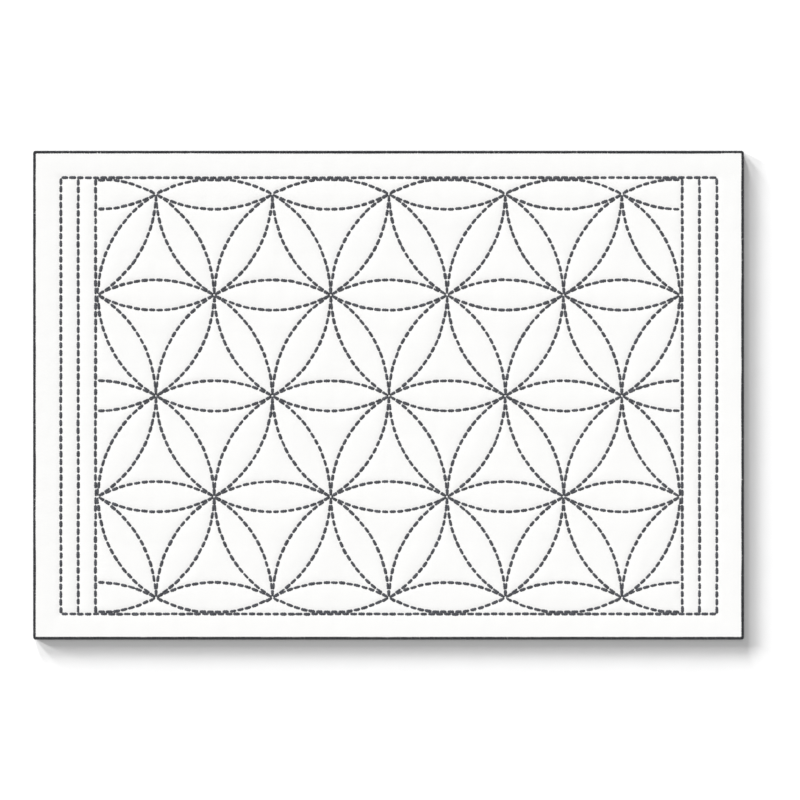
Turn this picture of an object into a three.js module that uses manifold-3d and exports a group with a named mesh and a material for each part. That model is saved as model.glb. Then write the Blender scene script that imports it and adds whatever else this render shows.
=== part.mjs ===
// A sashiko place mat, lying flat with its sewn face up.
// It is a white cotton cloth with a narrow dark edging all round. A dark thread is sewn through
// it in the traditional six-petal pattern of overlapping circles, inside an oblong frame that
// has two further lines at each end.
// Millimetres: +X along the mat, +Y across it, +Z up. The origin is on the underside, at the middle.
import * as THREE from "three";
import { mergeVertices } from "three/addons/utils/BufferGeometryUtils.js";
import Module from "manifold-3d";

// The whole mat, edging included
const MAT_LENGTH = 458;
const MAT_WIDTH = 315;
const CORNER_RADIUS = 1.7;
const CORNER_STEPS = 4;

// Every piece stands this far from its neighbour
const PIECE_GAP = 0.3;

// The edging: a bead of thread wound over the rim of the cloth
const EDGING_WIDTH = 1.2;
const EDGING_HEIGHT = 1.8;
const EDGING_ROUNDING = 0.35;

// The cloth: two layers of cotton, sewn as one
const CLOTH_THICKNESS = 1.4;
const CLOTH_ROUNDING = 0.25;
const CLOTH_CORNER_RADIUS = 0.5;

// A line of thread, as it stands on the cloth
const THREAD_WIDTH = 1.5;
const THREAD_HEIGHT = 0.55;

// The six-petal pattern: circles round the points of a triangular grid, each with the grid's
// spacing as its radius, so that every petal runs from one flower's centre to the next
const PETAL_LENGTH = 75;
const FLOWERS_IN_ROW = [5, 6, 5, 6, 5];
const ARC_STEPS = 6;

// The frame round the pattern, and the lines inside each end of it, measured along the thread
const FRAME_LENGTH = 422.4;
const FRAME_WIDTH = 281;
const END_LINES = 3;
const END_LINE_SPACING = 11.15;

// Worked out from these
const SIXTH_TURN = Math.PI / 3;
const QUARTER_TURN = Math.PI / 2;
const ROW_SPACING = PETAL_LENGTH * Math.sin(SIXTH_TURN);
const PATTERN_LENGTH = (Math.max(...FLOWERS_IN_ROW) - 1) * PETAL_LENGTH;
const PATTERN_WIDTH = (FLOWERS_IN_ROW.length - 1) * ROW_SPACING;
const INSIDE_CIRCLE = PETAL_LENGTH - THREAD_WIDTH / 2;
const OUTSIDE_CIRCLE = PETAL_LENGTH + THREAD_WIDTH / 2;

// How far a tool reaches past what it cuts
const CLEARANCE = 1;

// Colours and finish
const cotton = new THREE.MeshStandardMaterial({ color: 0xf7f6f2, roughness: 0.9, metalness: 0 });
const thread = new THREE.MeshStandardMaterial({ color: 0x3f434b, roughness: 0.8, metalness: 0 });

const wasm = await Module();
wasm.setup();

// A closed geometry as a solid that can be joined or cut
function solidOf(geometry) {
  const bare = geometry.clone();
  bare.deleteAttribute("normal");
  bare.deleteAttribute("uv");
  const merged = mergeVertices(bare, 1e-4);
  return new wasm.Manifold(
    new wasm.Mesh({
      numProp: 3,
      vertProperties: merged.attributes.position.array,
      triVerts: new Uint32Array(merged.index.array),
    }),
  );
}

// A solid back as a geometry
function geometryOf(solid) {
  const mesh = solid.getMesh();
  const geometry = new THREE.BufferGeometry();
  geometry.setAttribute("position", new THREE.BufferAttribute(mesh.vertProperties, mesh.numProp));
  geometry.setIndex(new THREE.BufferAttribute(mesh.triVerts, 1));
  geometry.computeVertexNormals();
  return geometry;
}

function namedMesh(name, geometry, material) {
  const mesh = new THREE.Mesh(geometry, material);
  mesh.name = name;
  return mesh;
}

// An oblong with rounded corners, centred on the origin
function roundedOblong(length, width, radius, Kind = THREE.Shape) {
  const x = length / 2 - radius;
  const y = width / 2 - radius;
  const outline = new Kind();
  const corners = [
    { x: x, y: -y, start: -QUARTER_TURN },
    { x: x, y: y, start: 0 },
    { x: -x, y: y, start: QUARTER_TURN },
    { x: -x, y: -y, start: 2 * QUARTER_TURN },
  ];
  for (const corner of corners) {
    outline.absarc(corner.x, corner.y, radius, corner.start, corner.start + QUARTER_TURN, false);
  }
  return outline;
}

// The outline drawn out to a flat slab that stands on z = 0, with its rims rounded off
function softSlab(outline, height, rounding) {
  const slab = new THREE.ExtrudeGeometry(outline, {
    depth: height - 2 * rounding,
    bevelEnabled: true,
    bevelThickness: rounding,
    bevelSize: rounding,
    bevelOffset: -rounding,
    bevelSegments: 2,
    curveSegments: CORNER_STEPS,
  });
  return slab.translate(0, 0, rounding);
}

function clothGeometry() {
  const inset = 2 * (EDGING_WIDTH + PIECE_GAP);
  const outline = roundedOblong(MAT_LENGTH - inset, MAT_WIDTH - inset, CLOTH_CORNER_RADIUS);
  return softSlab(outline, CLOTH_THICKNESS, CLOTH_ROUNDING);
}

function edgingGeometry() {
  const inset = 2 * EDGING_WIDTH;
  const outline = roundedOblong(MAT_LENGTH, MAT_WIDTH, CORNER_RADIUS);
  const hole = roundedOblong(
    MAT_LENGTH - inset,
    MAT_WIDTH - inset,
    CORNER_RADIUS - inset / 2,
    THREE.Path,
  );
  outline.holes.push(hole);
  return softSlab(outline, EDGING_HEIGHT, EDGING_ROUNDING);
}

// A point at a distance and a direction from another
function away(from, distance, direction) {
  return new THREE.Vector2(
    from.x + distance * Math.cos(direction),
    from.y + distance * Math.sin(direction),
  );
}

// The points of the shorter arc round a centre that leads from one point towards another. The
// last one is left out, because the next side of the cell begins there.
function arcPoints(centre, from, to) {
  const radius = from.distanceTo(centre);
  const start = Math.atan2(from.y - centre.y, from.x - centre.x);
  const turn = Math.atan2(to.y - centre.y, to.x - centre.x) - start;
  const sweep = Math.atan2(Math.sin(turn), Math.cos(turn));
  return Array.from({ length: ARC_STEPS }, (_, i) =>
    away(centre, radius, start + (sweep * i) / ARC_STEPS),
  );
}

// The bare cloth inside a petal: a lens, shared by the two circles whose centres lie on either
// side of the petal's middle
function petalCell(middle, direction) {
  const reach = Math.sqrt(INSIDE_CIRCLE ** 2 - ROW_SPACING ** 2);
  const tips = [away(middle, reach, direction), away(middle, -reach, direction)];
  const left = away(middle, ROW_SPACING, direction + QUARTER_TURN);
  const right = away(middle, ROW_SPACING, direction - QUARTER_TURN);
  return [...arcPoints(right, tips[0], tips[1]), ...arcPoints(left, tips[1], tips[0])];
}

// The bare cloth between three petals: a triangle with hollow sides. One of its corners points
// in the direction given, and each side is part of a circle that lies outside it.
function triangleCell(middle, direction) {
  const toFlower = PETAL_LENGTH / Math.sqrt(3);
  const reach = toFlower - Math.sqrt(OUTSIDE_CIRCLE ** 2 - PETAL_LENGTH ** 2);
  const directions = [0, 2, 4].map((turns) => direction + turns * SIXTH_TURN);
  const corners = directions.map((corner) => away(middle, reach, corner));
  return directions.flatMap((opposite, i) => {
    const centre = away(middle, -2 * toFlower, opposite);
    return arcPoints(centre, corners[(i + 1) % 3], corners[(i + 2) % 3]);
  });
}

// The bare cloth between the frame and the two petals that meet at a flower of the first or the
// last row. It is drawn past the frame, which cuts it off. The side is 1 at the back, -1 at the
// front.
function edgeCell(flower, side) {
  const level = flower.y - side * ROW_SPACING;
  const centres = [1, -1].map((hand) => {
    return new THREE.Vector2(flower.x + (hand * PETAL_LENGTH) / 2, level);
  });
  const rise = Math.sqrt(OUTSIDE_CIRCLE ** 2 - (PETAL_LENGTH / 2) ** 2);
  const corner = new THREE.Vector2(flower.x, level + side * rise);
  const crests = centres.map((centre) => {
    return new THREE.Vector2(centre.x, centre.y + side * OUTSIDE_CIRCLE);
  });
  return [
    ...arcPoints(centres[0], corner, crests[0]),
    crests[0],
    ...arcPoints(centres[1], crests[1], corner),
  ];
}

// An oblong, centred at x
function oblong(x, length, width) {
  return [
    new THREE.Vector2(x - length / 2, -width / 2),
    new THREE.Vector2(x + length / 2, -width / 2),
    new THREE.Vector2(x + length / 2, width / 2),
    new THREE.Vector2(x - length / 2, width / 2),
  ];
}

// The points of the triangular grid: the flowers' centres, with one point more at both ends of
// every row
function gridPoints() {
  return FLOWERS_IN_ROW.flatMap((count, row) => {
    const x = (-(count + 1) / 2) * PETAL_LENGTH;
    const y = row * ROW_SPACING - PATTERN_WIDTH / 2;
    return Array.from({ length: count + 2 }, (_, i) => new THREE.Vector2(x + i * PETAL_LENGTH, y));
  });
}

// Every piece of bare cloth that the circles leave. The petals and triangles at the ends of the
// rows are drawn whole here, and the lines across the mat cut them off.
function patternCells() {
  const isInside = (middle) =>
    Math.abs(middle.x) < PATTERN_LENGTH / 2 + CLEARANCE &&
    Math.abs(middle.y) < PATTERN_WIDTH / 2 + CLEARANCE;
  const cells = [];
  for (const point of gridPoints()) {
    for (const direction of [0, SIXTH_TURN, 2 * SIXTH_TURN]) {
      const middle = away(point, PETAL_LENGTH / 2, direction);
      if (isInside(middle)) cells.push(petalCell(middle, direction));
    }
    for (const direction of [QUARTER_TURN, -QUARTER_TURN]) {
      const middle = away(point, -PETAL_LENGTH / Math.sqrt(3), direction);
      if (isInside(middle)) cells.push(triangleCell(middle, direction));
    }
    const isAtEdge = Math.abs(point.y) > PATTERN_WIDTH / 2 - CLEARANCE;
    if (isInside(point) && isAtEdge) cells.push(edgeCell(point, Math.sign(point.y)));
  }
  return cells;
}

// An outline drawn upwards between two heights
function prism(points, bottom, top) {
  const geometry = new THREE.ExtrudeGeometry(new THREE.Shape(points), {
    depth: top - bottom,
    bevelEnabled: false,
  });
  return solidOf(geometry.translate(0, 0, bottom));
}

// The net that the thread makes: an oblong from which every piece of bare cloth is cut
function stitchingGeometry() {
  const bottom = CLOTH_THICKNESS + PIECE_GAP;
  const top = bottom + THREAD_HEIGHT;
  const cutter = (points) => prism(points, bottom - CLEARANCE, top + CLEARANCE);
  const innerLine = FRAME_LENGTH / 2 - (END_LINES - 1) * END_LINE_SPACING;
  const innerWidth = FRAME_WIDTH - THREAD_WIDTH;
  const window = cutter(oblong(0, 2 * innerLine - THREAD_WIDTH, innerWidth));
  const cuts = patternCells().map((cell) => cutter(cell).intersect(window));
  for (let i = 1; i < END_LINES; i++) {
    const x = FRAME_LENGTH / 2 - (i - 0.5) * END_LINE_SPACING;
    const strip = END_LINE_SPACING - THREAD_WIDTH;
    cuts.push(cutter(oblong(x, strip, innerWidth)), cutter(oblong(-x, strip, innerWidth)));
  }
  const outline = oblong(0, FRAME_LENGTH + THREAD_WIDTH, FRAME_WIDTH + THREAD_WIDTH);
  const plate = prism(outline, bottom, top);
  return geometryOf(cuts.reduce((net, cut) => net.subtract(cut), plate));
}

const mat = new THREE.Group();
mat.add(
  namedMesh("cloth", clothGeometry(), cotton),
  namedMesh("edging", edgingGeometry(), thread),
  namedMesh("sashiko_stitching", stitchingGeometry(), thread),
);

export default mat;
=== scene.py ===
# %% [markdown]
# # A sashiko place mat
#
# Sashiko is running stitch, sewn by hand with a thick cotton thread. This mat is two layers of
# white cotton, sewn together in the traditional six-petal pattern of overlapping circles. A frame
# of the same stitch goes round the pattern, and dark thread is wound over the rim of the cloth.
#
# Everything is in metres and in the same frame as the solid model: +X along the mat, +Y across
# it, +Z up, with the origin under its middle. Most sizes here are easier to read in millimetres,
# so they are written as a number times MM.

# %% Load the solid model
import math

import bpy
import numpy as np
from mathutils.kdtree import KDTree
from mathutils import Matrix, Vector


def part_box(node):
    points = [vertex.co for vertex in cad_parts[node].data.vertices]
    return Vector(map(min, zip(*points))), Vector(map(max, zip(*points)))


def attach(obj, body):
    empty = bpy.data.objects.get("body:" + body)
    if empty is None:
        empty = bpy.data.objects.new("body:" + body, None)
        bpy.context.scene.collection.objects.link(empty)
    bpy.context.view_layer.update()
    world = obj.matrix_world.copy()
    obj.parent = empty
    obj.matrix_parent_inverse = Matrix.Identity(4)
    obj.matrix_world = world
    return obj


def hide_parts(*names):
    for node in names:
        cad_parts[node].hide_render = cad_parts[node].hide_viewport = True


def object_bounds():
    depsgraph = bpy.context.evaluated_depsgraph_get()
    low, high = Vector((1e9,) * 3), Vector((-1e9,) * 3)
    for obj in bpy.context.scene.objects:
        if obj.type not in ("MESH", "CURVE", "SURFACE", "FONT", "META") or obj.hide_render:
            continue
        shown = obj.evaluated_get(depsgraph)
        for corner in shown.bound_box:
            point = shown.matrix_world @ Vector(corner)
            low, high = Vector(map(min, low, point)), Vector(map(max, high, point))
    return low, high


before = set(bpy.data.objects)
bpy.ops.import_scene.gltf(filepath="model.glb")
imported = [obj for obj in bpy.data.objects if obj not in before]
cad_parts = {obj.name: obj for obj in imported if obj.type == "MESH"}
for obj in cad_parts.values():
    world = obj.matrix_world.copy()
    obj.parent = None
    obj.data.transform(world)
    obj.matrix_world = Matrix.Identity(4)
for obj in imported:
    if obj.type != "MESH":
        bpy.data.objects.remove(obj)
solid_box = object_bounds()

MM = 0.001
print("solid model:", [[round(side / MM, 2) for side in corner] for corner in solid_box], "mm")

# %% [markdown]
# ## The camera
#
# The photograph looks straight down. A long lens, held high, keeps the mat's sides parallel as
# they are there. The view is a little wider than the mat, and aimed a little past its middle, to
# the right and towards the front, where the shadow falls.

# %% Make the camera
LENS_LENGTH = 85
SENSOR_WIDTH = 36
VIEW_WIDTH = 515.7 * MM
VIEW_MIDDLE = (7.4 * MM, -3.1 * MM)

lens = bpy.data.cameras.new("camera")
lens.lens = LENS_LENGTH
lens.sensor_width = SENSOR_WIDTH
camera = bpy.data.objects.new("camera", lens)
camera.location = (*VIEW_MIDDLE, VIEW_WIDTH * LENS_LENGTH / SENSOR_WIDTH)
bpy.context.scene.collection.objects.link(camera)
bpy.context.scene.camera = camera
print("the camera is", round(camera.location.z, 3), "m above the table")

# %% [markdown]
# ## The sizes of the work
#
# The outer sizes come from the solids. The rest is what a needleworker would note down: how long
# a petal is, how far apart the stitches are, and how thick the thread is. A stitch takes up nearly
# all of its pitch, but its ends dive into the cloth, so a gap shows between it and the next. As in
# the photograph, the pattern is a hair off the middle of the cloth.

# %% Note down the sizes
_, mat_high = solid_box
cloth_low, cloth_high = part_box("cloth")
HALF_LENGTH = mat_high.x
HALF_WIDTH = mat_high.y
CORNER_RADIUS = 1.7 * MM

PETAL_LENGTH = 75 * MM
FLOWERS_IN_ROW = [5, 6, 5, 6, 5]
SIXTH_TURN = math.pi / 3
ROW_SPACING = PETAL_LENGTH * math.sin(SIXTH_TURN)
PATTERN_LENGTH = (max(FLOWERS_IN_ROW) - 1) * PETAL_LENGTH
PATTERN_WIDTH = (len(FLOWERS_IN_ROW) - 1) * ROW_SPACING

FRAME_LENGTH = 422.4 * MM
FRAME_WIDTH = 281 * MM
END_LINES = 3
END_LINE_SPACING = 11.15 * MM
END_LINE_SHORTENING = 0.5 * MM
PATTERN_MIDDLE = (0.2 * MM, -0.4 * MM)

STITCHES_ALONG_PETAL = 16
STITCHES_ALONG_FRAME = 84
STITCHES_ACROSS_FRAME = 56
STITCH_SHARE = 0.98
THREAD_WIDTH = 1.9 * MM
SPOKE_WIDTH = 1.85 * MM
SPOKE_FLARE = 0.3

pitch = FRAME_LENGTH / STITCHES_ALONG_FRAME
print("stitch pitch", round(pitch / MM, 2), "mm, stitch", round(pitch * STITCH_SHARE / MM, 2), "mm")

# %% [markdown]
# ## Where the stitched lines run
#
# The pattern is made of circles round the points of a triangular grid, each with the grid's
# spacing as its radius. A petal is where two of them overlap: it runs from one grid point, a
# flower's centre, to the next. So every petal has two sides, and each side is a sixth of a circle.
#
# Near a flower's centre two circles run into each other. On the cloth both threads need room, so
# the lines are laid side by side there: each keeps a little way off the line that they would
# share. Midway, as in the photograph, a side is a hair flatter than the circle.

# %% Draw the sides of the petals
SIDE_LENGTH = PETAL_LENGTH * SIXTH_TURN
LANE = 0.42 * MM
FLATTENED_BY = 0.27 * MM
FRAME_CLEARANCE = 1.4 * MM


def away(point, distance, direction):
    """The point at a distance and a direction from another, or several such points."""
    return point + np.stack([np.cos(direction), np.sin(direction)], -1) * np.expand_dims(distance, -1)


def grid_points():
    """The flowers' centres, with one grid point more at both ends of every row."""
    points = []
    for row, count in enumerate(FLOWERS_IN_ROW):
        y = row * ROW_SPACING - PATTERN_WIDTH / 2
        for place in range(count + 2):
            points.append(np.array([(place - (count + 1) / 2) * PETAL_LENGTH, y]))
    return points


def is_sewn(middle):
    """Whether a petal with this middle is part of the pattern."""
    return abs(middle[0]) < PATTERN_LENGTH / 2 + MM and abs(middle[1]) < PATTERN_WIDTH / 2 + MM


def spread(distance):
    """How far a circle has left the line that it shares with its neighbour near a flower."""
    from_nearer_end = np.minimum(distance, SIDE_LENGTH - distance)
    return from_nearer_end**2 / (2 * PETAL_LENGTH)


def lane(distance):
    """How far the thread lies from that shared line."""
    return np.sqrt(spread(distance) ** 2 + LANE**2)


def point_on_side(flower, direction, side, distance):
    """The place of the thread at a distance along a petal's side from the flower where it starts."""
    centre = away(flower, PETAL_LENGTH, direction + side * SIXTH_TURN)
    angle = direction - side * 2 * SIXTH_TURN + side * distance / PETAL_LENGTH
    flattened = FLATTENED_BY * np.sin(math.pi * distance / SIDE_LENGTH)
    point = away(centre, PETAL_LENGTH + spread(distance) - lane(distance) - flattened, angle)
    limit = FRAME_WIDTH / 2 - FRAME_CLEARANCE
    point[..., 1] = np.clip(point[..., 1], -limit, limit)
    return point


petals = []
for point in grid_points():
    for direction in (0, SIXTH_TURN, 2 * SIXTH_TURN):
        if is_sewn(away(point, PETAL_LENGTH / 2, direction)):
            petals.append((point, direction))
print(len(petals), "petals, the ones cut at the ends of the rows among them")

# %% [markdown]
# ## Where the stitches lie
#
# A table holds one row for each stitch: its middle, its heading, its length, its width and its
# flare, the share by which it widens from its middle to its end. The stitches are evenly spaced
# along a line, but no hand is quite even, so each one is a little longer or shorter than the next
# and a little off its line. The random numbers start from a fixed seed, so the same mat comes out
# each time.
#
# A second table holds the short crossings underneath, from the end of one stitch to the start of
# the next.

# %% Write the helpers that place stitches
UNEVEN_LENGTH = 0.04
UNEVEN_WIDTH = 0.06
UNEVEN_PLACE = 0.07 * MM
CROSSING_OVERRUN = 0.35 * MM

rng = np.random.default_rng(63)


def table_of(starts, ends, width, flare=0.0):
    """One row for each stitch that runs from a start to an end."""
    along = ends - starts
    count = len(starts)
    length = np.hypot(along[:, 0], along[:, 1]) * rng.normal(1, UNEVEN_LENGTH, count)
    heading = np.arctan2(along[:, 1], along[:, 0])
    place = (starts + ends) / 2 + rng.normal(0, UNEVEN_PLACE, (count, 2))
    widths = width * rng.normal(1, UNEVEN_WIDTH, count)
    return np.column_stack([place, heading, length, widths, np.full(count, flare)])


def crossings_of(starts, ends):
    """One row for each crossing under the gap between two stitches of a line."""
    along = starts[1:] - ends[:-1]
    length = np.hypot(along[:, 0], along[:, 1]) + 2 * CROSSING_OVERRUN
    heading = np.arctan2(along[:, 1], along[:, 0])
    widths, flares = np.full(len(along), THREAD_WIDTH), np.zeros(len(along))
    return np.column_stack([(starts[1:] + ends[:-1]) / 2, heading, length, widths, flares])


def is_inside(rows):
    """Whether each stitch lies within the length of the pattern."""
    return np.abs(rows[:, 0]) < PATTERN_LENGTH / 2 + LANE


def tree_of(points):
    """A search tree that finds the nearest of many points."""
    tree = KDTree(len(points))
    for number, (x, y) in enumerate(points):
        tree.insert((x, y, 0), number)
    tree.balance()
    return tree


print("a stitch's length varies by about", round(100 * UNEVEN_LENGTH), "per cent")

# %% [markdown]
# The sides of two neighbouring petals leave a flower on one line, so the first stitch out of the
# flower is sewn once for both. These first stitches make the six spokes of every flower. They are
# narrower at the flower's middle than at their outer ends, and they stop just short of it, because
# threads that all met there would pile up.
#
# After the spokes each side has its own stitches. Where two of them lie close together they press
# each other thinner, so a stitch is hardly wider than its distance from the nearest other one.

# %% Place the stitches
side_step = SIDE_LENGTH / STITCHES_ALONG_PETAL
side_middles = (np.arange(STITCHES_ALONG_PETAL) + 0.5) * side_step

SPOKE_START = 0.35 * MM
SPOKE_END = 1.04 * side_step
WIDEST_SHARE_OF_ROOM = 1.05


def sew_petal_sides():
    """The stitches along the sides of all the petals, and their crossings underneath."""
    stitches, crossings = [], []
    for flower, direction in petals:
        for side in (1, -1):
            reach = side_step * STITCH_SHARE / 2
            starts = point_on_side(flower, direction, side, side_middles - reach)
            ends = point_on_side(flower, direction, side, side_middles + reach)
            stitches.append(table_of(starts[1:-1], ends[1:-1], THREAD_WIDTH))
            crossings.append(crossings_of(starts, ends))
    stitches, crossings = np.concatenate(stitches), np.concatenate(crossings)
    return stitches[is_inside(stitches)], crossings[is_inside(crossings)]


def sew_spokes():
    """The first stitches out of every flower, one for each line that leaves it."""
    spokes = set()
    for flower, direction in petals:
        opposite = away(flower, PETAL_LENGTH, direction)
        for middle, towards in ((flower, direction), (opposite, direction + math.pi)):
            for side in (1, -1):
                turn = round(math.degrees(towards + side * SIXTH_TURN / 2)) % 360
                spokes.add((*np.round(middle / MM, 2), turn))
    spokes = np.array(sorted(spokes))
    middles, turns = spokes[:, :2] * MM, np.radians(spokes[:, 2])
    starts = away(middles, np.full(len(turns), SPOKE_START), turns)
    ends = away(middles, np.full(len(turns), SPOKE_END), turns)
    rows = table_of(starts, ends, SPOKE_WIDTH, SPOKE_FLARE)
    return rows[is_inside(rows)]


def sew_straight(start, end, count):
    """The stitches along a straight line, and their crossings underneath."""
    start, end = np.array(start), np.array(end)
    step = (end - start) / count
    middles = start + (np.arange(count)[:, None] + 0.5) * step
    starts, ends = middles - step * STITCH_SHARE / 2, middles + step * STITCH_SHARE / 2
    return table_of(starts, ends, THREAD_WIDTH), crossings_of(starts, ends)


def sew_frame():
    """The stitches of the frame, and of the lines across the mat at both of its ends."""
    x, y = FRAME_LENGTH / 2, FRAME_WIDTH / 2
    lines = [sew_straight((-x, level), (x, level), STITCHES_ALONG_FRAME) for level in (y, -y)]
    for line in range(END_LINES):
        level = x - line * END_LINE_SPACING
        end = y - (END_LINE_SHORTENING if line else 0)
        for place in (level, -level):
            lines.append(sew_straight((place, -end), (place, end), STITCHES_ACROSS_FRAME))
    return [np.concatenate(tables) for tables in zip(*lines)]


def room_for(rows):
    """How far the middle of each stitch is from the nearest other one."""
    tree = tree_of(rows[:, :2])
    return np.array([tree.find_n((x, y, 0), 2)[1][2] for x, y in rows[:, :2]])


side_rows, side_crossings = sew_petal_sides()
spoke_rows = sew_spokes()
frame_rows, frame_crossings = sew_frame()
all_rows = np.concatenate([side_rows, spoke_rows, frame_rows])
all_rows[:, 4] = np.minimum(all_rows[:, 4], WIDEST_SHARE_OF_ROOM * room_for(all_rows))
all_rows[:, :2] += PATTERN_MIDDLE
petal_rows, frame_rows = np.split(all_rows, [len(side_rows) + len(spoke_rows)])
crossing_rows = np.concatenate([side_crossings, frame_crossings])
crossing_rows[:, :2] += PATTERN_MIDDLE
thread_used = all_rows[:, 3].sum() + crossing_rows[:, 3].sum()
print(len(side_rows), "stitches in the sides of the petals")
print(len(spoke_rows), "in the spokes and", len(frame_rows), "in the frame")
print("thread used: about", round(thread_used, 1), "m")

# %% [markdown]
# ## A helper that builds meshes
#
# Thousands of small forms are quickest to make as whole arrays of numbers. This helper takes an
# array of points, arrays of four-sided and three-sided faces, and any faces with more corners. It
# can also keep a named vector at each point, which a material reads later.

# %% Write the helper
THREAD_PLACE = "thread_place"


def build_mesh(name, points, quads, triangles=(), polygons=(), places=None):
    """A smooth object from arrays of points and faces."""
    mesh = bpy.data.meshes.new(name)
    kinds = [np.asarray(kind, np.int32) for kind in (quads, triangles) if len(kind)]
    others = [np.array(polygon, np.int32) for polygon in polygons]
    corners = np.concatenate([kind.ravel() for kind in kinds] + others)
    sizes = [kind.shape[1] for kind in kinds for _ in range(len(kind))]
    sizes += [len(polygon) for polygon in others]
    starts = np.concatenate([[0], np.cumsum(sizes)[:-1]]).astype(np.int32)
    mesh.vertices.add(len(points))
    mesh.vertices.foreach_set("co", np.asarray(points, np.float32).ravel())
    mesh.loops.add(len(corners))
    mesh.loops.foreach_set("vertex_index", corners)
    mesh.polygons.add(len(sizes))
    mesh.polygons.foreach_set("loop_start", starts)
    mesh.polygons.foreach_set("use_smooth", np.ones(len(sizes), bool))
    if places is not None:
        kept = mesh.attributes.new(THREAD_PLACE, "FLOAT_VECTOR", "POINT")
        kept.data.foreach_set("vector", np.asarray(places, np.float32).ravel())
    mesh.update(calc_edges=True)
    mesh.validate()
    piece = bpy.data.objects.new(name, mesh)
    bpy.context.scene.collection.objects.link(piece)
    print(name, "has", sum(size - 2 for size in sizes), "triangles")
    return piece


# %% [markdown]
# ## The cloth
#
# The cloth is one closed sheet. Its top is a fine grid of points, and each point's height is
# worked out from the sewing. Under a stitch the cloth is pressed down, at the two holes of a stitch
# it is pulled in, and away from the lines the two layers puff up a little. A fine grid with the
# relief in it is chosen over a bump in the material, because the puckers then hold up from the
# side too.

# %% Work out the relief of the cloth
CLOTH_TOP = cloth_high.z
CLOTH_UNDERSIDE = 0.36 * MM
CLOTH_INSET = 0.9 * MM
GRID_SPACING = 1.4 * MM
PUFF_HEIGHT = 0.2 * MM
PUFF_REACH = 7 * MM
TROUGH_DEPTH = 0.28 * MM
TROUGH_REACH = 1.7 * MM
HOLE_DEPTH = 0.3 * MM
HOLE_REACH = 0.95 * MM
DRIFT_HEIGHT = 0.05 * MM
DRIFT_WAVELENGTH = 55 * MM
RIPPLE_WAVELENGTH = 11 * MM
RIM_REACH = 5 * MM
RIM_DROP = 0.1 * MM
LINE_REACH = 0.62


def stitch_ends(rows):
    """The points where the stitches go into the cloth."""
    reach = rows[:, 3] / 2
    return np.concatenate([away(rows[:, :2], side * reach, rows[:, 2]) for side in (1, -1)])


def distances_to(targets, points):
    """How far each point is from the nearest of the targets."""
    tree = tree_of(targets)
    return np.array([tree.find((x, y, 0))[2] for x, y in points])


def soft_noise(points, wavelength, waves=14, seed=5):
    """Gentle hills and hollows, from a few plane waves that run in all directions."""
    generator = np.random.default_rng(seed)
    total = np.zeros(len(points))
    for _ in range(waves):
        direction = generator.uniform(0, 2 * math.pi)
        length = wavelength * generator.uniform(0.6, 1.8)
        run = points @ np.array([math.cos(direction), math.sin(direction)]) / length
        total += np.sin(2 * math.pi * run + generator.uniform(0, 2 * math.pi))
    return total / math.sqrt(waves)


line_samples = np.linspace(-LINE_REACH, LINE_REACH, 5)
line_points = np.concatenate(
    [away(all_rows[:, :2], share * all_rows[:, 3], all_rows[:, 2]) for share in line_samples]
)
hole_points = stitch_ends(all_rows)
print(len(hole_points), "holes pull the cloth in")


def relief(points):
    """The height of the cloth's top over its plain level."""
    from_line = distances_to(line_points, points)
    from_hole = distances_to(hole_points, points)
    from_rim = np.minimum(
        HALF_LENGTH - CLOTH_INSET - np.abs(points[:, 0]),
        HALF_WIDTH - CLOTH_INSET - np.abs(points[:, 1]),
    )
    height = PUFF_HEIGHT * (1 - np.exp(-((from_line / PUFF_REACH) ** 2)))
    height -= TROUGH_DEPTH * np.exp(-((from_line / TROUGH_REACH) ** 2))
    height -= HOLE_DEPTH * np.exp(-((from_hole / HOLE_REACH) ** 2))
    height -= RIM_DROP * np.exp(-((from_rim / RIM_REACH) ** 2))
    height += DRIFT_HEIGHT * soft_noise(points, DRIFT_WAVELENGTH)
    height += DRIFT_HEIGHT / 2 * soft_noise(points, RIPPLE_WAVELENGTH, seed=8)
    return height


# %% Build the cloth
RIM_RINGS = [(0.28 * MM, 0.72), (0.42 * MM, 0.42), (0.28 * MM, 0.12)]


def within_corner(points):
    """Points of an oblong grid, with those past a rounded corner drawn in onto it."""
    radius = CORNER_RADIUS - CLOTH_INSET
    middle = np.array([HALF_LENGTH, HALF_WIDTH]) - CORNER_RADIUS
    past = np.abs(points) - middle
    distance = np.hypot(*np.maximum(past, 0).T)
    outside = (past > 0).all(axis=1) & (distance > radius)
    drawn_in = middle + past * (radius / np.maximum(distance, 1e-9))[:, None]
    return np.where(outside[:, None], np.sign(points) * drawn_in, points)


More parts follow.
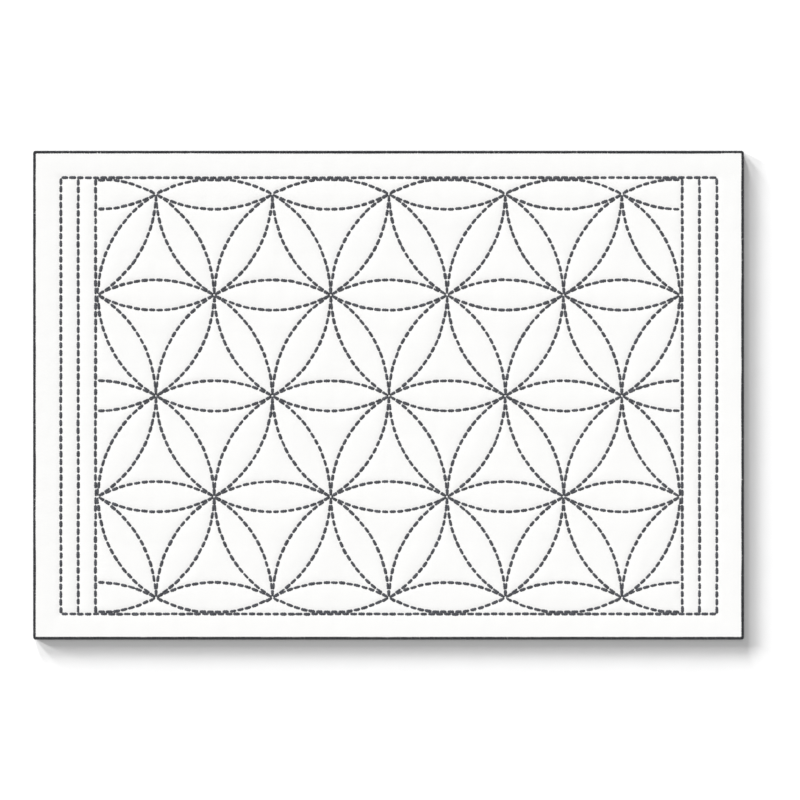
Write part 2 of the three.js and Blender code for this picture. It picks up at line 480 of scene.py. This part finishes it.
def make_cloth():
    """The closed sheet: a fine grid on top, a rounded rim and a flat underside."""
    half = np.array([HALF_LENGTH, HALF_WIDTH]) - CLOTH_INSET
    columns, rows = np.ceil(2 * half / GRID_SPACING).astype(int) + 1
    x, y = np.meshgrid(np.linspace(-half[0], half[0], columns), np.linspace(-half[1], half[1], rows))
    flat = within_corner(np.column_stack([x.ravel(), y.ravel()]))
    top = np.column_stack([flat, CLOTH_TOP + relief(flat)])
    number = np.arange(columns * rows).reshape(rows, columns)
    quads = [np.stack([number[:-1, :-1], number[:-1, 1:], number[1:, 1:], number[1:, :-1]], -1)]
    rim = np.concatenate([number[0, :-1], number[:-1, -1], number[-1, :0:-1], number[:0:-1, 0]])
    outward = flat[rim] / half
    outward = np.where(np.abs(outward) > 1 - 1e-3, np.sign(outward), 0)
    outward /= np.maximum(np.hypot(*outward.T), 1)[:, None]
    points, previous = [top], rim
    for bulge, share in [*RIM_RINGS, (0, 0)]:
        level = CLOTH_UNDERSIDE + share * (top[rim, 2] - CLOTH_UNDERSIDE)
        ring = np.column_stack([flat[rim] + bulge * outward, level])
        ring_number = sum(len(p) for p in points) + np.arange(len(rim))
        strip = [previous, ring_number, np.roll(ring_number, -1), np.roll(previous, -1)]
        quads.append(np.stack(strip, -1))
        points.append(ring)
        previous = ring_number
    faces = np.concatenate([part.reshape(-1, 4) for part in quads])
    return build_mesh("cloth_sheet", np.concatenate(points), faces, polygons=[previous[::-1]])


cloth = make_cloth()

# %% [markdown]
# ## The stitches
#
# A stitch is a short length of twisted thread that comes up through the cloth, lies over it and
# dives down again. One stitch is a few rings of points round a line that rises and falls. Each
# ring is a little wider at four places, and the rings turn as they go, so the four plies of the
# thread wind round it. All the stitches of a piece are made at once: the same rings are scaled and
# turned for each row of the table.

# %% Shape one stitch and repeat it
PLIES = 4
PLY_TURN = 6 * MM
PLY_RELIEF = 0.12
STITCH_RISE = 0.25 * MM
STITCH_DIVE = 0.42 * MM
STITCH_THICKNESS = 0.74 * MM
STITCH_RINGS = 8
STITCH_SIDES = 12
STITCH_BLUNTNESS = 4.2
RINGS_CROWD_AT_ENDS = 1.35
STITCH_RUN_STEP = 7.3


def make_stitches(name, rows, levels, thickness, rise, dive, rings, sides):
    """One piece with a stitch for each row. Levels are the heights that they lie on."""
    share = np.linspace(-1, 1, rings + 2)
    share = np.sign(share) * (1 - (1 - np.abs(share)) ** RINGS_CROWD_AT_ENDS)
    fullness = (1 - np.abs(share) ** STITCH_BLUNTNESS) ** 0.5
    heading, length = rows[:, 2], rows[:, 3]
    width = rows[:, 4, None] * (1 + rows[:, 5, None] * share)
    along = share * length[:, None] / 2
    start = rng.uniform(0, 1, len(rows)) * PLY_TURN
    turn = 2 * math.pi * (along + start[:, None]) / PLY_TURN
    corner = 2 * math.pi * np.arange(sides) / sides
    ply = 1 + PLY_RELIEF * np.cos(PLIES * corner)
    angle = turn[:, :, None] + corner
    across = np.cos(angle) * ply * (fullness * width / 2)[:, :, None]
    lift = np.sin(angle) * ply * (fullness[:, None] * thickness / 2)
    level = levels[:, None] + rise * (1 - share**2) - dive * share**4
    x = rows[:, 0, None, None] + along[:, :, None] * np.cos(heading)[:, None, None]
    y = rows[:, 1, None, None] + along[:, :, None] * np.sin(heading)[:, None, None]
    x = x - across * np.sin(heading)[:, None, None]
    y = y + across * np.cos(heading)[:, None, None]
    z = level[:, :, None] + lift
    run = ((along + start[:, None]) / MM)[:, :, None]
    run = run + (np.arange(len(rows)) * STITCH_RUN_STEP)[:, None, None]
    return build_threads(name, np.stack([x, y, z], -1), corner, run)


def build_threads(name, points, corner, run):
    """One piece of many short threads, each a row of rings of points, with its run in mm."""
    count, rings, sides = points.shape[:3]
    quads, triangles, kept = tube_faces(count, rings - 2, sides)
    places = np.stack(np.broadcast_arrays(np.cos(corner), np.sin(corner), run), -1)
    points, places = points.reshape(-1, 3)[kept], places.reshape(-1, 3)[kept]
    return build_mesh(name, points, quads, triangles, places=places)


def tube_faces(count, rings, sides):
    """The faces of many tubes with pointed ends, and which points of their rings they keep."""
    each = (rings + 2) * sides
    ring = np.arange(each).reshape(rings + 2, sides)
    numbers = np.concatenate([[ring[0, 0]], ring[1:-1].ravel(), [ring[-1, 0]]])
    body = 1 + np.arange(rings * sides).reshape(rings, sides)
    ahead = np.roll(body, -1, axis=1)
    quads = np.stack([body[:-1], ahead[:-1], ahead[1:], body[1:]], -1).reshape(-1, 4)
    last = rings * sides + 1
    front = np.column_stack([ahead[0], body[0], np.zeros(sides, int)])
    back = np.column_stack([body[-1], ahead[-1], np.full(sides, last)])
    triangles = np.concatenate([front, back])
    shift = (np.arange(count) * (last + 1))[:, None, None]
    kept = (np.arange(count) * each)[:, None] + numbers
    return (quads + shift).reshape(-1, 4), (triangles + shift).reshape(-1, 3), kept.ravel()


def surface_under(rows):
    """The height of the cloth at the middle of each stitch."""
    return CLOTH_TOP + relief(rows[:, :2])


on_left = petal_rows[:, 0] < 0
stitched = []
for name, rows in {
    "petal_stitches_left": petal_rows[on_left],
    "petal_stitches_right": petal_rows[~on_left],
    "frame_stitches": frame_rows,
}.items():
    stitched.append(
        make_stitches(
            name,
            rows,
            levels=surface_under(rows),
            thickness=STITCH_THICKNESS,
            rise=STITCH_RISE,
            dive=STITCH_DIVE,
            rings=STITCH_RINGS,
            sides=STITCH_SIDES,
        )
    )

# %% [markdown]
# Underneath, the thread crosses the short gaps between the stitches. Those crossings are what the
# mat rests on, together with its edge, so they are built too, with fewer points.

# %% Add the crossings underneath
UNDERNEATH_THICKNESS = 0.4 * MM
UNDERNEATH_LEVEL = 0.24 * MM
UNDERNEATH_RISE = 0.25 * MM
UNDERNEATH_RINGS = 4
UNDERNEATH_SIDES = 6

stitched.append(
    make_stitches(
        "stitches_underneath",
        crossing_rows,
        levels=np.full(len(crossing_rows), UNDERNEATH_LEVEL),
        thickness=UNDERNEATH_THICKNESS,
        rise=0,
        dive=-UNDERNEATH_RISE,
        rings=UNDERNEATH_RINGS,
        sides=UNDERNEATH_SIDES,
    )
)

# %% [markdown]
# ## The overcast edge
#
# Thread is wound over the rim of the cloth, one turn beside the next, all the way round. Each turn
# is an open loop in a plane across the edge: it starts in the cloth's top, passes over the rim and
# ends in the underside. The turns lean a little, because each one leads on to the next. They are
# spaced near the outside of the rim, so at the corners they fan out and close up on the inside.

# %% Wind the thread over the rim
WRAP_PITCH = 1.05 * MM
WRAP_THICKNESS = 0.4 * MM
WRAP_INSET = 1.2 * MM
WRAP_REACH = 1.0 * MM
WRAP_MIDDLE = 0.9 * MM
WRAP_HALF_HEIGHT = 0.68 * MM
WRAP_SPACED_AT = 0.4 * MM
WRAP_LEAN = 0.45 * MM
WRAP_ARC = math.radians(318)
WRAP_RINGS = 11
WRAP_SIDES = 6
WRAP_HALF_WIDTH = 0.54 * WRAP_PITCH
WRAP_BLUNTNESS = 12
WRAP_RUN_STEP = 3.7
UNEVEN_WRAP_SIZE = 0.04
UNEVEN_WRAP_PLACE = 0.05 * MM


def along_edge(count):
    """Evenly spaced points round the mat at the middle of the edging, with their outward normals."""
    radius = CORNER_RADIUS - WRAP_INSET
    x, y = HALF_LENGTH - CORNER_RADIUS, HALF_WIDTH - CORNER_RADIUS
    bend = (CORNER_RADIUS - WRAP_SPACED_AT) * math.pi / 2
    corners = [(x, y, 2 * x), (-x, y, 2 * y), (-x, -y, 2 * x), (x, -y, 2 * y)]
    total = sum(bend + side for _, _, side in corners)
    points, normals = [], []
    for distance in np.arange(count) * total / count:
        for quarter, (cx, cy, side) in enumerate(corners):
            if distance < bend + side:
                break
            distance -= bend + side
        turn = (quarter + min(distance / bend, 1)) * math.pi / 2
        normal = np.array([math.cos(turn), math.sin(turn)])
        onward = np.array([-normal[1], normal[0]])
        points.append(np.array([cx, cy]) + radius * normal + max(distance - bend, 0) * onward)
        normals.append(normal)
    return np.array(points), np.array(normals)


def make_edging():
    """The turns of thread round the rim, as one piece."""
    count = round(4 * (HALF_LENGTH + HALF_WIDTH) / WRAP_PITCH)
    middle, normal = along_edge(count)
    onward = np.column_stack([-normal[:, 1], normal[:, 0]])
    share = np.linspace(-1, 1, WRAP_RINGS + 2)
    around = -share * WRAP_ARC / 2
    fullness = (1 - np.abs(share) ** WRAP_BLUNTNESS) ** 0.5
    size = rng.normal(1, UNEVEN_WRAP_SIZE, (count, 1))
    lean = WRAP_LEAN * share + rng.normal(0, UNEVEN_WRAP_PLACE, (count, 1))
    corner = 2 * math.pi * np.arange(WRAP_SIDES) / WRAP_SIDES
    half_width = WRAP_HALF_WIDTH * size * fullness
    half_thickness = WRAP_THICKNESS / 2 * size * fullness
    outward = np.cos(around)[:, None] * (
        WRAP_REACH + np.sin(corner) * half_thickness[:, :, None]
    )
    height = WRAP_MIDDLE + np.sin(around)[:, None] * (
        WRAP_HALF_HEIGHT + np.sin(corner) * half_thickness[:, :, None]
    )
    sideways = lean[:, :, None] + np.cos(corner) * half_width[:, :, None]
    flat = (
        middle[:, None, None, :]
        + outward[..., None] * normal[:, None, None, :]
        + sideways[..., None] * onward[:, None, None, :]
    )
    points = np.concatenate([flat, height[..., None]], -1)
    run = (around * WRAP_HALF_HEIGHT / MM)[None, :, None]
    run = run + (np.arange(count) * WRAP_RUN_STEP)[:, None, None]
    print(count, "turns of thread round the rim")
    return build_threads("overcast_edging", points, corner, run)


edging = make_edging()

# %% [markdown]
# ## Calculating with shades
#
# The finishes below are sums: how high a yarn stands, how far a fibre turns. A node for each step
# is slow to read, so this small class lets the sums be written as sums. Each operator adds the
# Math node that it stands for.

# %% Write the class for sums
class Shade:
    """A number that varies over a surface."""

    def __init__(self, finish, socket):
        self.finish = finish
        self.socket = socket

    def maths(self, operation, *terms):
        return self.finish.node("ShaderNodeMath", {"operation": operation}, dict(enumerate(terms)))

    def __add__(self, other):
        return self.maths("ADD", self, other)

    def __sub__(self, other):
        return self.maths("SUBTRACT", self, other)

    def __mul__(self, other):
        return self.maths("MULTIPLY", self, other)

    def __radd__(self, other):
        return self.maths("ADD", other, self)

    def __rsub__(self, other):
        return self.maths("SUBTRACT", other, self)

    def __rmul__(self, other):
        return self.maths("MULTIPLY", other, self)

    def sine(self):
        return self.maths("SINE", self)

    def cosine(self):
        return self.maths("COSINE", self)

    def size(self):
        return self.maths("ABSOLUTE", self)

    def sign(self):
        return self.maths("SIGN", self)

    def root(self):
        return self.maths("SQRT", self)

    def within_one(self):
        return self.maths("MINIMUM", self.maths("MAXIMUM", self, 0.0), 1.0)


class Finish:
    """A material in the making. All its nodes are added by its method node."""

    def __init__(self, name):
        self.material = bpy.data.materials.new(name)
        self.material.use_nodes = True
        self.tree = self.material.node_tree
        self.tree.nodes.clear()

    def node(self, kind, settings=None, sockets=None, output=0):
        node = self.tree.nodes.new(kind)
        for name, value in (settings or {}).items():
            setattr(node, name, value)
        for name, value in (sockets or {}).items():
            if isinstance(value, Shade):
                self.tree.links.new(value.socket, node.inputs[name])
            else:
                node.inputs[name].default_value = value
        return Shade(self, node.outputs[output]) if node.outputs else None

    def parts_of(self, vector):
        """The x, y and z of a vector."""
        parts = self.node("ShaderNodeSeparateXYZ", sockets={"Vector": vector})
        return [Shade(self, output) for output in parts.socket.node.outputs]

    def noise(self, place, scale, detail=2.0):
        return self.node(
            "ShaderNodeTexNoise", sockets={"Vector": place, "Scale": scale, "Detail": detail}
        )

    def stretched(self, place, scales):
        return self.node(
            "ShaderNodeVectorMath", {"operation": "MULTIPLY"}, {0: place, 1: scales}
        )

    def blend(self, share, first, second):
        """One colour at a share of 0, the other at 1."""
        return self.node(
            "ShaderNodeMix", {"data_type": "RGBA"}, {"Factor": share, 6: first, 7: second}, output=2
        )

    def surface(self, colour, height, height_scale, roughness, sheen):
        """Ends the material: a cloth-like surface with this colour and relief."""
        bump = self.node(
            "ShaderNodeBump", sockets={"Height": height, "Distance": height_scale, "Strength": 1.0}
        )
        shader = self.node(
            "ShaderNodeBsdfPrincipled",
            sockets={
                "Base Color": colour,
                "Roughness": roughness,
                "Normal": bump,
                "Sheen Weight": sheen,
                "Sheen Roughness": 0.5,
                "Specular IOR Level": 0.15,
            },
        )
        self.node("ShaderNodeOutputMaterial", sockets={"Surface": shader})
        return self.material


print("shades can be added, subtracted and multiplied")

# %% [markdown]
# ## White cotton
#
# The cloth is a plain weave: each yarn passes over one crossing yarn and under the next. A wave
# across the yarns gives each one its round crown. A wave along them lifts and sinks them, and it
# starts the other way up on every second yarn. The warp and the weft are worked out in the same
# way, and the higher of the two is what shows. No cloth is quite even, so the yarns wander a
# little, grow thick and thin, and have fibres that run along them. The finish counts in
# millimetres, so the yarn's width and its drift are plain numbers.

# %% Mix the cotton
YARN_WIDTH = 0.62
YARN_DRIFT = 0.5
YARN_RISE = 0.8
YARN_RELIEF = 0.1 * MM
YARN_SOFTNESS = 0.2
WANDER_SCALE = 0.09
SLUB_ACROSS, SLUB_ALONG = 1.4, 0.1
FIBRE_ACROSS, FIBRE_ALONG = 11, 2
COTTON_ROUGHNESS = 0.9
COTTON_LIGHT = (0.945, 0.943, 0.934, 1)
COTTON_SHADED = (0.87, 0.867, 0.855, 1)


def mix_cotton():
    cotton = Finish("white_cotton")
    position = cotton.node("ShaderNodeTexCoord", output="Object")
    place = cotton.stretched(position, (1 / MM, 1 / MM, 1 / MM))
    x, y, _ = cotton.parts_of(place)
    drift = cotton.noise(place, WANDER_SCALE) - 0.5
    warp = (x + YARN_DRIFT * drift) * (math.pi / YARN_WIDTH)
    weft = (y - YARN_DRIFT * drift) * (math.pi / YARN_WIDTH)
    warp_wave, weft_wave = warp.sine(), weft.sine()
    warp_slub = cotton.noise(cotton.stretched(place, (SLUB_ACROSS, SLUB_ALONG, 1)), 1.0) + 0.5
    weft_slub = cotton.noise(cotton.stretched(place, (SLUB_ALONG, SLUB_ACROSS, 1)), 1.0) + 0.5
    warp_height = warp_wave.size().root() * warp_slub + warp_wave.sign() * weft_wave * YARN_RISE
    weft_height = weft_wave.size().root() * weft_slub - weft_wave.sign() * warp_wave * YARN_RISE
    height = warp_height.maths("SMOOTH_MAX", warp_height, weft_height, YARN_SOFTNESS)
    warp_on_top = ((warp_height - weft_height) * 4 + 0.5).within_one()
    warp_fibre = cotton.noise(cotton.stretched(place, (FIBRE_ACROSS, FIBRE_ALONG, 2)), 1.0)
    weft_fibre = cotton.noise(cotton.stretched(place, (FIBRE_ALONG, FIBRE_ACROSS, 2)), 1.0)
    fibre = warp_on_top * warp_fibre + (1 - warp_on_top) * weft_fibre
    # Painted shade: the cotton is darker where the yarns lie low, between their crowns. The fibres
    # vary its tone at random.
    painted_shade_and_tone = (height * 0.3 + fibre * 0.4 + 0.2).within_one()
    colour = cotton.blend(painted_shade_and_tone, COTTON_SHADED, COTTON_LIGHT)
    return cotton.surface(colour, height + 0.25 * fibre, YARN_RELIEF, COTTON_ROUGHNESS, 0.0)


print("about", round(2 * HALF_LENGTH / MM / YARN_WIDTH), "yarns along the mat")

# %% [markdown]
# ## Dark thread
#
# Sashiko thread is cotton with a soft twist and hardly any shine. The material knows its place on
# the thread from the vector that each point keeps: a turn round the thread and a run along it. The
# plies stand out where the mesh does, with a fine fuzz of fibres that follows the twist. Shade is
# painted into the grooves between the plies, so the crowns come out paler; the dye and the fibres
# also vary the tone at random. The thread on the edge is darker, and its three plies are only
# in its finish.

# %% Mix the thread
THREAD_DEEP = (0.044, 0.046, 0.054, 1)
THREAD_PALE = (0.175, 0.182, 0.206, 1)
EDGE_DEEP = (0.011, 0.012, 0.0145, 1)
EDGE_PALE = (0.058, 0.061, 0.07, 1)
EDGE_PLIES = 3
THREAD_BUMP = 0.12 * MM
THREAD_ROUGHNESS = 0.78
THREAD_SHEEN = 0.25
TWIST_SCALES = (9, 9, 0.9)
FUZZ_SCALES = (14, 14, 14)
DYE_SCALES = (0.1, 0.1, 0.13)


def mix_thread(name, plies, deep, pale):
    thread = Finish(name)
    place = thread.node("ShaderNodeAttribute", {"attribute_name": THREAD_PLACE}, output="Vector")
    x, y, _ = thread.parts_of(place)
    turn = x.maths("ARCTAN2", y, x)
    crown = (turn * plies).cosine() * 0.5 + 0.5
    fibre = thread.noise(thread.stretched(place, TWIST_SCALES), 1.0, 3.0) - 0.5
    fuzz = thread.noise(thread.stretched(place, FUZZ_SCALES), 1.0) - 0.5
    dye = thread.noise(thread.stretched(place, DYE_SCALES), 1.0, 1.0) - 0.5
    # Painted shade: the grooves between the plies are darker than the crowns. The fibres, the fuzz
    # and the dye vary the tone at random.
    painted_shade_and_tone = (crown * 0.4 + fibre * 1.8 + fuzz * 0.6 + dye * 0.9 + 0.05).within_one()
    colour = thread.blend(painted_shade_and_tone, deep, pale)
    height = crown * 0.8 + fibre * 1.2 + fuzz * 0.5
    return thread.surface(colour, height, THREAD_BUMP, THREAD_ROUGHNESS, THREAD_SHEEN)


cotton = mix_cotton()
thread = mix_thread("dark_thread", PLIES, THREAD_DEEP, THREAD_PALE)
edge_thread = mix_thread("dark_edge_thread", EDGE_PLIES, EDGE_DEEP, EDGE_PALE)
cloth.data.materials.append(cotton)
edging.data.materials.append(edge_thread)
for piece in stitched:
    piece.data.materials.append(thread)
print("finishes:", [material.name for material in (cotton, thread, edge_thread)])

# %% [markdown]
# ## The table and the light
#
# The mat lies on a plain white table. In the photograph it is evenly bright, and its shadow
# falls to the right and towards the front, wide for so thin a thing. That takes light from very
# low. On the cloth such a light would turn every pucker into a hill, so the work is shared: low
# suns shine on the table alone, and a high one on the mat alone. Three low suns stand a little
# apart, because one alone draws the corners of the shadow too sharply. They stand nearer the back
# than the left, because the shadow reaches further to the front than to the right. An even white
# sky fills in the rest.

# %% Set up the table and the light
TABLE_SIZE = 30
TABLE_DULL = (0.9, 0.9, 0.9, 1)
TABLE_BRIGHT = (0.93, 0.93, 0.93, 1)
TABLE_GRAIN = 0.01 * MM
TABLE_ROUGHNESS = 0.7
SKY_STRENGTH = 0.45
LOW_SUN = {"energy": 10.7, "height": 4.35, "spread": 9}
HIGH_SUN = {"energy": 2.8, "height": 50, "spread": 30}
LOW_SUN_DIRECTIONS = [108, 131, 154]
HIGH_SUN_DIRECTION = 135


def make_table():
    half = TABLE_SIZE / 2
    corners = [(-half, -half, 0), (half, -half, 0), (half, half, 0), (-half, half, 0)]
    table = build_mesh("table", corners, [[0, 1, 2, 3]])
    paint = Finish("white_table")
    position = paint.node("ShaderNodeTexCoord", output="Object")
    grain = paint.noise(position, 60.0, 3.0)
    colour = paint.blend(grain, TABLE_DULL, TABLE_BRIGHT)
    table.data.materials.append(paint.surface(colour, grain, TABLE_GRAIN, TABLE_ROUGHNESS, 0.0))
    return table


def make_sun(name, sun, direction, lit):
    """A soft sun from the back left that shines on some things only."""
    light = bpy.data.lights.new(name, "SUN")
    light.energy = sun["energy"]
    light.angle = math.radians(sun["spread"])
    lamp = bpy.data.objects.new(name, light)
    lamp.rotation_euler = (0, math.radians(90 - sun["height"]), math.radians(direction))
    bpy.context.scene.collection.objects.link(lamp)
    group = bpy.data.collections.new(name + "_shines_on")
    for thing in lit:
        group.objects.link(thing)
    lamp.light_linking.receiver_collection = group
    return lamp


table = make_table()
for direction in LOW_SUN_DIRECTIONS:
    make_sun(f"low_sun_{direction}", LOW_SUN, direction, [table])
make_sun("high_sun", HIGH_SUN, HIGH_SUN_DIRECTION, [cloth, edging, *stitched])

sky = bpy.data.worlds.new("sky")
sky.use_nodes = True
sky.node_tree.nodes["Background"].inputs["Color"].default_value = (1, 1, 1, 1)
sky.node_tree.nodes["Background"].inputs["Strength"].default_value = SKY_STRENGTH
bpy.context.scene.world = sky
bpy.context.scene.view_settings.view_transform = "Standard"
print(len(LOW_SUN_DIRECTIONS), "low suns, a high one and a white sky")

# %% [markdown]
# ## What belongs together
#
# Every piece moves with the mat's one body. The sheet takes the place of the solid cloth, the
# turns of thread that of the solid edging, and the stitches that of the raised net.

# %% Tie the pieces to the solids
for piece, node, finish in [
    (cloth, "cloth", "white_cotton"),
    (edging, "edging", "dark_thread"),
    *[(piece, "sashiko_stitching", "dark_thread") for piece in stitched],
]:
    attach(piece, "root")
    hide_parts(node)
